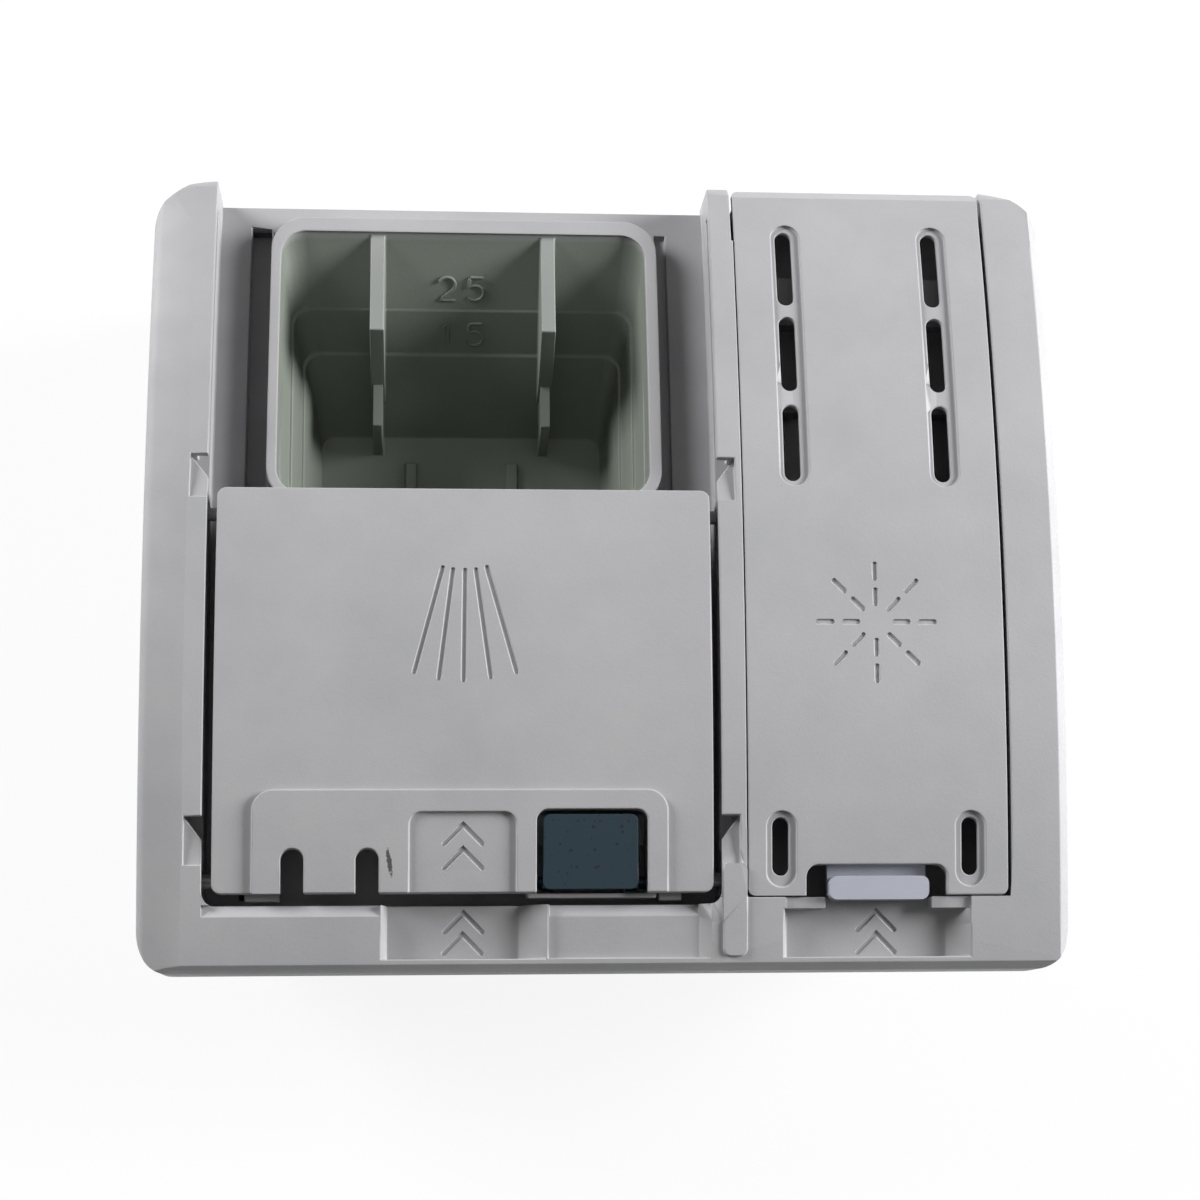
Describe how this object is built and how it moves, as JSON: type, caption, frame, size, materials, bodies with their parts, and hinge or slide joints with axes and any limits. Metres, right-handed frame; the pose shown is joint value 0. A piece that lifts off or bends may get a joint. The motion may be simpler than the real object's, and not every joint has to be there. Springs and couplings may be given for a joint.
{
  "type": "dishwasher detergent dispenser",
  "caption": "Combined detergent and rinse-aid dispenser for a dishwasher door: sliding cup cover on a convex bezel, hinged rinse-aid lid, release solenoid and tank.",
  "frame": {"origin": "middle of the bounding box's bottom, on the plane of the rear covers", "axes": "+X across the face towards the rinse-aid side, +Y up the door towards the lid's hinge, +Z out of the front face"},
  "size_m": [0.15, 0.1324, 0.0484],
  "materials": {
    "grey_plastic": "fine matte, moulded polypropylene",
    "light_plastic": "smooth moulded plastic",
    "button_plastic": "blue-grey moulded plastic",
    "rubber": "soft black rubber",
    "clear_plastic": "clear moulded plastic",
    "plated_steel": "zinc-plated steel",
    "copper_winding": "enamelled copper wire",
    "brass_blades": "tinned brass",
    "black_plastic": "black moulded plastic",
    "float_plastic": "cream moulded plastic",
    "magnet": "sintered ferrite"
  },
  "bodies": {
    "housing": {"front_housing": "grey_plastic", "rinse_tank": "light_plastic", "rear_cover": "grey_plastic", "housing_screws": "plated_steel", "door_gasket": "rubber", "sight_glass": "clear_plastic", "solenoid_frame": "plated_steel", "solenoid_bobbin": "black_plastic", "solenoid_coil": "copper_winding", "coil_terminals": "brass_blades", "plunger_spring": "plated_steel", "reed_switch": "black_plastic", "cover_spring": "plated_steel", "shaft_seal": "rubber"},
    "cover": {"detergent_cover": "grey_plastic", "cover_seal": "rubber", "button_spring": "plated_steel"},
    "button": {"release_button": "button_plastic"},
    "lid": {"rinse_lid": "grey_plastic", "filler_seal": "rubber", "latch_spring": "plated_steel"},
    "latch": {"lid_latch": "light_plastic"},
    "dial": {"dosing_dial": "light_plastic"},
    "plunger": {"plunger": "plated_steel"},
    "lever": {"release_lever": "light_plastic", "valve_arm": "light_plastic"},
    "valve": {"valve_stem": "light_plastic", "valve_seal": "rubber"},
    "float": {"float": "float_plastic", "float_magnet": "magnet"}
  },
  "joints": [
    {"name": "cover_slide", "type": "hinge", "parent": "housing", "child": "cover", "pos_m": [-0.0231, 0, -0.2771], "axis": [-1, 0, 0], "range_deg": [0, 8.87], "stiffness_Nm_per_rad": 9, "springref_deg": -9.17, "deforming": ["cover_spring"]},
    {"name": "button_rock", "type": "hinge", "parent": "cover", "child": "button", "pos_m": [-0.003, -0.0522, 0.04074], "axis": [-1, 0, 0], "range_deg": [0, 8], "stiffness_Nm_per_rad": 0.08, "springref_deg": -5.73, "deforming": ["button_spring"]},
    {"name": "lid_hinge", "type": "hinge", "parent": "housing", "child": "lid", "pos_m": [0.04355, 0.0605, 0.0364], "axis": [-1, 0, 0], "range_deg": [0, 90]},
    {"name": "latch_slide", "type": "slide", "parent": "lid", "child": "latch", "axis": [0, 0.9881, 0.1536], "range_m": [0, 0.0018], "stiffness_N_per_m": 400, "springref_m": -0.001, "deforming": ["latch_spring"]},
    {"name": "dial_turn", "type": "hinge", "parent": "housing", "child": "dial", "pos_m": [0.0435, 0.006, 0.033], "axis": [0, 0, 1], "range_deg": [0, 150]},
    {"name": "plunger_slide", "type": "slide", "parent": "housing", "child": "plunger", "axis": [0, -1, 0], "range_m": [0, 0.0016], "stiffness_N_per_m": 400, "springref_m": -0.002, "deforming": ["plunger_spring"]},
    {"name": "lever_rock", "type": "hinge", "parent": "housing", "child": "lever", "pos_m": [0.0084, 0.0036, 0.026], "axis": [-1, 0, 0], "range_deg": [0, 8.34]},
    {"name": "valve_lift", "type": "slide", "parent": "housing", "child": "valve", "axis": [0, 0, -1], "range_m": [0, 0.00132]},
    {"name": "float_slide", "type": "slide", "parent": "housing", "child": "float", "axis": [0, 1, 0], "range_m": [0, 0.01]}
  ],
  "couplings": [
    {"joint": "lever_rock", "follows": "plunger_slide", "rad_per_m": 90.909},
    {"joint": "valve_lift", "follows": "plunger_slide", "ratio": 0.81818}
  ]
}
